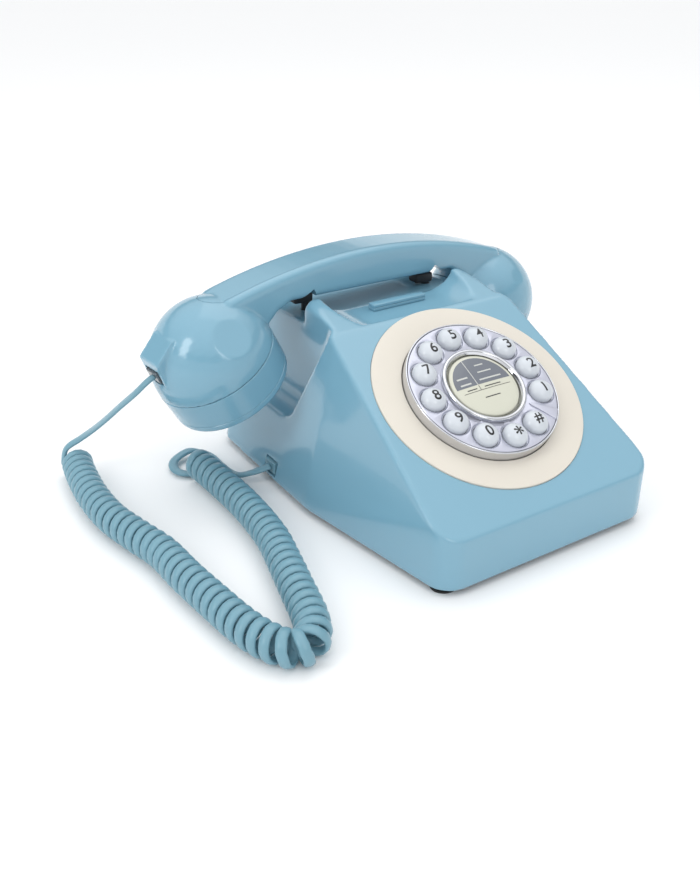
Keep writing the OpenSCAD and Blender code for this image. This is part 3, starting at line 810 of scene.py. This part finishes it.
key_pattern = lathe("key", [(0, KEY_LOW), (KEY_FOOT_R, KEY_LOW), (KEY_FOOT_R, FLANGE_TOP),
    (KEY_R, FLANGE_TOP)] + dome_line(0), 48)
skin_pattern = lathe("skin",
    [(0, DOME_TOP - 0.25)] + dome_line(-0.25)[::-1][1:] + dome_line(0.05), 48)
for i, (node, figure) in enumerate(zip(KEY_NODES, FIGURES)):
    key = settle(copy_of(key_pattern, node + "_cap"), at_key(i))
    paint(smooth(key, 40), key_white)
    stand_for(key, node)
    put_down()
    bpy.ops.object.text_add()
    mark = bpy.context.object
    mark.data.body = figure
    mark.data.align_x, mark.data.align_y = "CENTER", "CENTER"
    mark.data.size = (STAR_SIZE if figure == "*" else FIGURE_SIZE) * MM
    mark.data.offset = (BOLDER_FOUR if figure == "4" else BOLDER) * MM
    mark.data.extrude = 1.9 * MM
    mark.data.resolution_u = 6
    bpy.ops.object.convert(target="MESH")
    across = [v.co.x for v in mark.data.vertices]
    upwards = [v.co.y for v in mark.data.vertices]
    centring = (-((min(across) + max(across)) / 2), -(min(upwards) + max(upwards)) / 2, 9 * MM)
    settle(mark, at_key(i) @ Matrix.Translation(centring))
    mould(mark, 0.13, 1)
    skin = settle(copy_of(skin_pattern, "skin"), at_key(i))
    combine(mark, skin, "INTERSECT")
    rename(mark, node + "_figure")
    paint(mark, ink_black)
    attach(mark, node)
bpy.data.objects.remove(key_pattern)
bpy.data.objects.remove(skin_pattern)
print("twelve keys with figures")

# %% [markdown]
# ## The middle button and its card
# The round button carries a printed card under a clear face: a slate field above, with a
# light divider, and ivory below with a few fine lines. The wording of the real card is left
# out, and plain bars stand where its lines of print are. Each patch is cut from one thin
# skin over the button's gentle crown.

# %% Button
BUTTON_R, BUTTON_FOOT_R = 17.5, 19.9
BUTTON_TOP = 6.9
CROWN = 0.7
CARD_R = 15.7


def crown(r, lift):
    return BUTTON_TOP + lift + CROWN * (1 - (r / BUTTON_R) ** 2)


button_profile = [(0, KEY_LOW), (BUTTON_FOOT_R, KEY_LOW), (BUTTON_FOOT_R, FLANGE_TOP),
    (BUTTON_R, FLANGE_TOP), (BUTTON_R, BUTTON_TOP - 0.8)]
button_profile += arc(BUTTON_R - 0.8, BUTTON_TOP - 0.8, 0.8, 0, 75)[1:]
button_profile += [(r, crown(r, 0)) for r in (15, 12, 9, 6, 3, 0)]
middle_button = settle(lathe("middle_button", button_profile, 96), on_face())
paint(smooth(middle_button, 40), button_cream)
stand_for(middle_button, "redial_button")
print("button:", len(middle_button.data.polygons), "faces")

# %% Card
slate_ink = finish("slate_card_ink", (0.13, 0.145, 0.175), drift=0.04, drift_scale=200,
    rough=(0.16, 0.22), ripple=0.01, ripple_scale=2000, coat=0.4)
pale_ink = finish("pale_card_ink", (0.55, 0.56, 0.53), drift=0.03, drift_scale=200,
    rough=(0.2, 0.28), ripple=0.01, ripple_scale=2000)
FIELD_LIFT, LIGHT_LIFT = 0.05, 0.09
BAR_SHARE, DARK_BAR = 0.45, 0.5
LIGHT_BARS = ((1.0, 6.0, 10.6, 1.5), (0.2, 8.2, 6.6, 1.5), (-1.4, 11.4, 2.4, 1.7),
    (-12.6, -6.6, 5.4, 1.9), (-12.6, -6.6, 1.8, 1.9))
DARK_BARS = ((-11, -5.5, -1.5), (-1.0, 8.5, -1.5), (-4.2, 4.6, -7.2))


def card_patch(name, low, high, lift, made):
    """A patch of ink between two corners of the card, on the button's crown."""
    radii = [CARD_R * k / 5 for k in range(6)]
    skin = [(x, crown(x, -0.2)) for x in radii] + [(x, crown(x, lift)) for x in reversed(radii)]
    patch = lathe(name, skin, 96)
    window = block("block", ((low[0] + high[0]) / 2 * MM, (low[1] + high[1]) / 2 * MM, 7 * MM),
        ((high[0] - low[0]) * MM, (high[1] - low[1]) * MM, 6 * MM))
    combine(patch, window, "INTERSECT")
    rename(settle(patch, on_face()), name)
    paint(smooth(patch, 30), made)
    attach(patch, "redial_button")


card_patch("card_slate", (-20, 0.6), (20, 20), FIELD_LIFT, slate_ink)
card_patch("card_divider", (-4.0, 0.6), (-3.6, 15.6), LIGHT_LIFT, pale_ink)
for n, (x0, x1, y, h) in enumerate(LIGHT_BARS):
    card_patch("card_light_bar_%d" % n, (x0, y), (x1, y + h * BAR_SHARE), LIGHT_LIFT, pale_ink)
card_patch("card_fine_line", (-13.6, -2.7), (13.6, -2.45), FIELD_LIFT, ink_black)
card_patch("card_tick", (-3.9, -2.6), (-3.65, 0.2), FIELD_LIFT, ink_black)
for n, (x0, x1, y) in enumerate(DARK_BARS):
    card_patch("card_dark_bar_%d" % n, (x0, y), (x1, y + DARK_BAR), FIELD_LIFT, ink_black)

# %% [markdown]
# ## The handset
# The handset is a hollow moulding in two parts: a body with a bell at each end, and a long
# strip along the top of the grip that hides the screws. It lies a little askew across the
# case. So it is built level and straight, in the case's millimetres, and one matrix lays it
# in the cradle. The bells are turned, the grip and the snout for the cord are slabs, and a
# fine voxel remesh flows them together the way a pattern maker fills corners with wax.

# %% Handset measures
LINE_Y = 150
TURNED, LEANING, MOVED_LEFT = math.radians(5), math.radians(2.5), 3
AS_LAID = (Matrix.Translation(place(-MOVED_LEFT, LINE_Y, 95)) @ Matrix.Rotation(TURNED, 4, "Z")
    @ Matrix.Rotation(LEANING, 4, "Y") @ Matrix.Translation(-place(0, LINE_Y, 95)))
BELL_REACH, SEAM_Z, BELL_TILT = 90.6, 66, 31
BELL_R, DOME_H, DRAWN_IN = {-1: 31.2, 1: 30.7}, {-1: 32, 1: 30}, {-1: 0, 1: 1}
GRIP_TOP, GRIP_ARC, GRIP_W, GRIP_UNDER, NECK_X = 111, 300, 25, 91.5, 58
HANDSET_WALL, GRIP_WALL = 3.4, 4.4
SNOUT_X, SNOUT_Z, SNOUT_W = -123.2, 64.8, 17
SNOUT_PLAN = [(-2.6, 7.8), (4, -7.6), (12, -13), (24, 10), (30, 24), (5.8, 18.4)]


def at_bell(s):
    return (upright(s * (BELL_REACH - DRAWN_IN[s]), LINE_Y, SEAM_Z)
        @ Matrix.Rotation(math.radians(s * BELL_TILT), 4, "Y"))


def grip_z(x):
    return GRIP_TOP - GRIP_ARC + math.sqrt(GRIP_ARC ** 2 - x * x)


def grip_slab(inset, width):
    reach = BELL_REACH + 1
    outline = [(i * reach / 12, grip_z(i * reach / 12) - inset) for i in range(-12, 13)]
    under = [(BELL_REACH - 6, SEAM_Z + 10), (NECK_X + 9 + inset, SEAM_Z + 15 + inset),
        (NECK_X + 3, GRIP_UNDER - 4 + inset), (NECK_X - 5, GRIP_UNDER + inset)]
    outline += under + [(-x, z) for x, z in reversed(under)]
    return slab("grip", outline, LINE_Y - width / 2, LINE_Y + width / 2, "Y")


def bell_dome(s, inset):
    r, high = BELL_R[s] - inset, DOME_H[s] - inset
    turns = [math.radians(a) for a in range(0, 91, 6)]
    dome = [(0, -0.01 if inset else 0)] + [(r * math.cos(t), high * math.sin(t)) for t in turns]
    return settle(lathe("dome", dome, 96), at_bell(s))


print("the grip is", round(grip_z(0) - GRIP_UNDER, 1), "mm thick in the middle")

# %% Handset body
FACET_OUT, FACET_LEAN, FACET_DEEP = 75.5, 54, 1.7
snout_plan = [(SNOUT_X + x, SNOUT_Z + z) for x, z in SNOUT_PLAN]
parts = [bell_dome(-1, 0), bell_dome(1, 0), round_edges(grip_slab(0, GRIP_W), 3.5, 4, 60),
    slab("snout", snout_plan, LINE_Y - SNOUT_W / 2, LINE_Y + SNOUT_W / 2, "Y")]
body = parts[0]
for part in parts[1:]:
    combine(body, part, "UNION")
for s in (-1, 1):
    for t in (-1, 1):
        turn = math.radians(t * (180 - FACET_OUT) if s > 0 else t * FACET_OUT)
        facet = (at_bell(s) @ Matrix.Translation(Vector((-s * 6.2, t * 23.9, 20.1)) * MM)
            @ Matrix.Rotation(turn, 4, "Z") @ Matrix.Rotation(math.radians(FACET_LEAN), 4, "Y")
            @ Matrix.Translation((0, 0, -FACET_DEEP * MM)))
        combine(body, rod(facet, 16, 10))
mould(body, 0.75, 5)
for s in (-1, 1):
    combine(body, rod(at_bell(s) @ Matrix.Translation((0, 0, -60 * MM)), 60, 60.02, 24))
print("handset skin:", len(body.data.polygons), "faces")

# %% [markdown]
# ## The strip along the grip
# The strip is parted from the body along a fine seam. Its plan is long with rounded points
# at both ends. One cutter, slightly larger for the body than for the strip, leaves a seam of
# even width, and both parts keep the same flowing surface.

# %% Strip and hollows
STRIP_DEEP, SEAM_W = 1.9, 0.22
JACK_LEAN = -28


def strip_cutter(grow):
    ends = [(84, 8.6), (90, 8.0), (94.5, 6.2), (97, 3.2), (97.8, 0)]
    half_plan = [(x + grow, y + grow) for x, y in ends[:-1]] + [(ends[-1][0] + grow, 0)]
    plan = half_plan + [(x, -y) for x, y in reversed(half_plan[:-1])]
    plan += [(-x, y) for x, y in reversed(plan)]
    piece = pulled("strip_plan", [place(x, LINE_Y + y, 85) for x, y in plan], (0, 0, 40 * MM))
    line = [(i * 100 / 16, grip_z(i * 100 / 16) - STRIP_DEEP - grow) for i in range(-16, 17)]
    band = slab("band", line + [(x, 140) for x, z in reversed(line)], 130, 170, "Y")
    return combine(piece, band, "INTERSECT")


strip = copy_of(body, "grip_strip")
combine(strip, strip_cutter(0), "INTERSECT")
combine(body, strip_cutter(SEAM_W))
for s in (-1, 1):
    combine(body, bell_dome(s, HANDSET_WALL))
combine(body, grip_slab(GRIP_WALL, GRIP_W - 5.4))
jack_mouth = (upright(SNOUT_X, LINE_Y, SNOUT_Z)
    @ Matrix.Rotation(math.radians(JACK_LEAN), 4, "Y"))
mouth = box_of("mouth", (-6.1, -6.1, -4.1), (15.5, 6.1, 4.1))
settle(mouth, jack_mouth @ Matrix.Translation(-place(0, 0, 0)))
combine(body, mouth)
for piece, name, node in ((body, "handset_body", "handset_shell"),
        (strip, "grip_strip", "handset_cover")):
    settle(rename(piece, name), AS_LAID)
    paint(smooth(piece, 40), body_plastic)
    stand_for(piece, node)
print("handset:", len(body.data.polygons), "and strip:", len(strip.data.polygons), "faces")

# %% [markdown]
# ## The screw caps of the bells
# Each bell is closed by a cap with a plain side, a fine groove near its rim and a shallow
# dished face with sound holes: one ring of them to speak into, and two to listen at.

# %% Caps
CAP_R = 31.2
CAP_LINE = closed([(28.9, -0.25), (30.9, -0.25), (CAP_R, -0.55), (30.95, -14.0), (30.6, -14.2),
    (30.6, -14.6), (30.85, -14.8)] + arc(29.0, -16.6, 1.8, 0, -90, 5) + [(26, -18.0),
    (22, -17.2), (0, -16.8), (0, -14.6), (21.5, -14.9), (28.2, -14.6)])
HOLE_R, HOLE_STEP = 1.1, 4.4


def bell_cap(name, s, rings, node):
    cap = lathe(name, [(r * BELL_R[s] / CAP_R, z) for r, z in CAP_LINE], 128)
    pins = [Matrix.Translation((0, 0, -20 * MM))]
    for k in range(1, rings + 1):
        for i in range(6 * k):
            a, out = math.radians(i * 60 / k), HOLE_STEP * k
            pins.append(Matrix.Translation(
                Vector((out * math.cos(a), out * math.sin(a), -20)) * MM))
    combine(cap, joined("pins", [rod(pin, HOLE_R, 8, 20) for pin in pins]))
    rename(settle(cap, AS_LAID @ at_bell(s)), name)
    paint(smooth(cap, 32), body_plastic)
    stand_for(cap, node)


bell_cap("mouthpiece", -1, 1, "mouthpiece_cap")
bell_cap("earpiece", 1, 2, "earpiece_cap")
print("two caps turned")

# %% [markdown]
# ## Cradle bar
# In the valley between the horns lies a low bar in two steps. A block of the CAD bar's size
# is lowered by one step, its top is inset and pulled up again, and its edges are rounded.

# %% Bar
BAR_STEP = 1.7
bar_low, bar_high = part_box("cradle_bar")
bar = block("stepped_bar", (bar_low + bar_high) / 2, bar_high - bar_low)
for point in bar.data.vertices:
    if point.co.z > bar_high.z - 0.0001:
        point.co.z -= BAR_STEP * MM
pick_up(bar)
for polygon in bar.data.polygons:
    polygon.select = polygon.normal.z > 0.9
bpy.ops.object.mode_set(mode="EDIT")
bpy.ops.mesh.inset(thickness=1.2 * MM)
bpy.ops.mesh.extrude_region_move(TRANSFORM_OT_translate={"value": (0, 0, BAR_STEP * MM)})
bpy.ops.object.mode_set(mode="OBJECT")
round_edges(bar, 0.45, 3, 35)
paint(smooth(bar, 35), body_plastic)
stand_for(bar, "cradle_bar")
print("bar:", len(bar.data.polygons), "faces")

# %% [markdown]
# ## Plungers
# Two black plungers carry the grip. Each is a small rounded pad on a round stem, tilted as
# the grip leans. They stop 1 mm under it, and ride on the hook, so they rise as it is lifted.

# %% Plungers
PAD_LONG, PAD_WIDE, PAD_HIGH = 11, 8, 5.4
STEM_R, STEM_FOOT = 2.2, 54
plunger_parts = []
for s in (-1, 1):
    pad = block("pad", (0, 0, 0), (PAD_LONG * MM, PAD_WIDE * MM, PAD_HIGH * MM))
    round_edges(pad, 1.4, 4, 35)
    x = s * PLUNGER_X
    top = GRIP_UNDER - (x + MOVED_LEFT) * math.tan(LEANING) - 1.0
    settle(pad, upright(x - MOVED_LEFT, HANDSET_Y, top - PAD_HIGH / 2)
        @ Matrix.Rotation(LEANING, 4, "Y"))
    plunger_parts += [pad, rod(upright(x, HANDSET_Y, STEM_FOOT), STEM_R, top - 57.2, 32)]
plungers = joined("cradle_pads", plunger_parts)
paint(smooth(plungers, 35), black_plastic)
stand_for(plungers, "cradle_plungers")
print("plungers:", len(plungers.data.polygons), "faces")

# %% [markdown]
# ## Finishes for the rest
# The parts whose CAD shape is already right keep it. Each gets the finish of its slot, and
# most get their edges broken: doubles are welded first, then a small bevel catches the light.

# %% Finishes for the CAD parts
FINISH_OF = {
    "black_plastic": black_plastic, "foot_rubber": rubber, "steel": steel,
    "circuit_board": board_green, "mat_rubber": mat_grey, "plug_plastic": clear_plug,
    "body_plastic": body_plastic, "cream_plastic": cream_plastic, "chrome_trim": chrome,
    "faceplate": plate_silver, "button_plastic": button_cream, "key_plastic": key_white,
    "cord_plastic": black_plastic}
BREAK_EDGES = {
    "rubber_feet": 0.4, "cradle_plungers": 0.8, "cord_plug_handset": 0.5, "cord_plug_base": 0.5,
    "handset_jack": 0.25, "cord_jack": 0.25, "line_jack": 0.3, "base_plate": 0.5,
    "base_screws": 0.3, "hook_bracket": 0.25, "hook_crossbar": 0.4, "hook_switch": 0.3,
    "hook_springs": 0.3, "ringer": 0.5, "ballast_weight": 0.6, "main_board": 0.15,
    "board_screws": 0.25, "dial_housing": 0.3, "key_mat": 0.4, "key_board": 0.15,
    "dial_screws": 0.25, "microphone": 0.5, "receiver": 0.5, "handset_weight": 0.5}
FINISH_HERE = {"cord_jack": body_plastic, "cord_plug_base": cord_teal}
for part in frame["record"]["subparts"]:
    node, slot = part["node"], part["material_slot"]
    paint(nodes[node], FINISH_HERE.get(node, FINISH_OF[slot]))
    if node in BREAK_EDGES:
        weld = nodes[node].modifiers.new("weld", "WELD")
        weld.merge_threshold = 0.00002
        bevel = nodes[node].modifiers.new("bevel", "BEVEL")
        bevel.width = BREAK_EDGES[node] * MM
        bevel.segments = 3
        bevel.limit_method = "ANGLE"
        bevel.angle_limit = math.radians(40)
print("finished the CAD parts,", len(BREAK_EDGES), "of them with broken edges")

# %% [markdown]
# ## Floor and light
# The telephone stands on a plain white table under soft studio light: a weak softbox overhead,
# and two tall window-like ones, at the left and in front, whose reflections show as bright
# panes on every round surface. Bright trim needs something dark to reflect, so the sky, which
# is pale grey low down and white overhead, has a dark band part of the way up, where mostly
# the trim sees it.

# %% Studio
bpy.context.scene.view_settings.view_transform = "Standard"
bpy.ops.mesh.primitive_plane_add(size=60, location=(0, 0, 0))
table_top = bpy.context.object
table_top.name = "table_top"
table_finish = bpy.data.materials.new("white_table")
table_finish.use_nodes = True
table_shader = table_finish.node_tree.nodes["Principled BSDF"]
table_shader.inputs["Base Color"].default_value = (0.96, 0.96, 0.96, 1)
table_shader.inputs["Roughness"].default_value = 0.8
table_shader.inputs["Specular IOR Level"].default_value = 0.05
table_top.data.materials.append(table_finish)


def softbox(name, location, aim, size_x, size_y, power):
    bpy.ops.object.light_add(type="AREA", location=location)
    lamp = bpy.context.object
    lamp.name = name
    lamp.data.shape = "RECTANGLE"
    lamp.data.size, lamp.data.size_y = size_x, size_y
    lamp.data.energy = power
    lamp.rotation_mode = "QUATERNION"
    lamp.rotation_quaternion = (Vector(aim) - Vector(location)).to_track_quat("-Z", "Y")


softbox("overhead_softbox", (0.35, 0.35, 1.2), (0.05, 0, 0.05), 1.0, 0.9, 2.0)
softbox("left_window", (-1.25, -0.08, 0.80), (-0.09, 0.04, 0.08), 0.36, 0.75, 4.2)
softbox("front_window", (-0.12, -1.2, 0.85), (-0.09, 0.04, 0.08), 0.34, 0.70, 2.0)
studio = bpy.data.worlds.new("studio")
bpy.context.scene.world = studio
studio.use_nodes = True
tree = studio.node_tree
sky = tree.nodes["Background"]
look = tree.nodes.new("ShaderNodeTexCoord")
height = tree.nodes.new("ShaderNodeSeparateXYZ")
ramp = tree.nodes.new("ShaderNodeValToRGB")
tree.links.new(look.outputs["Generated"], height.inputs["Vector"])
tree.links.new(height.outputs["Z"], ramp.inputs["Fac"])
tree.links.new(ramp.outputs["Color"], sky.inputs["Color"])
SKY_LEVELS = [(0.0, 0.66), (0.24, 0.66), (0.29, 0.08), (0.40, 0.10), (0.47, 0.52), (1.0, 1.05)]
SKY_STRENGTH = 1.42
while len(ramp.color_ramp.elements) < len(SKY_LEVELS):
    ramp.color_ramp.elements.new(0.5)
for stop, (at, level) in zip(ramp.color_ramp.elements, SKY_LEVELS):
    stop.position = at
    stop.color = (level * 0.98, level * 0.99, level, 1)
sky.inputs["Strength"].default_value = SKY_STRENGTH
print("three softboxes and a pale sky")
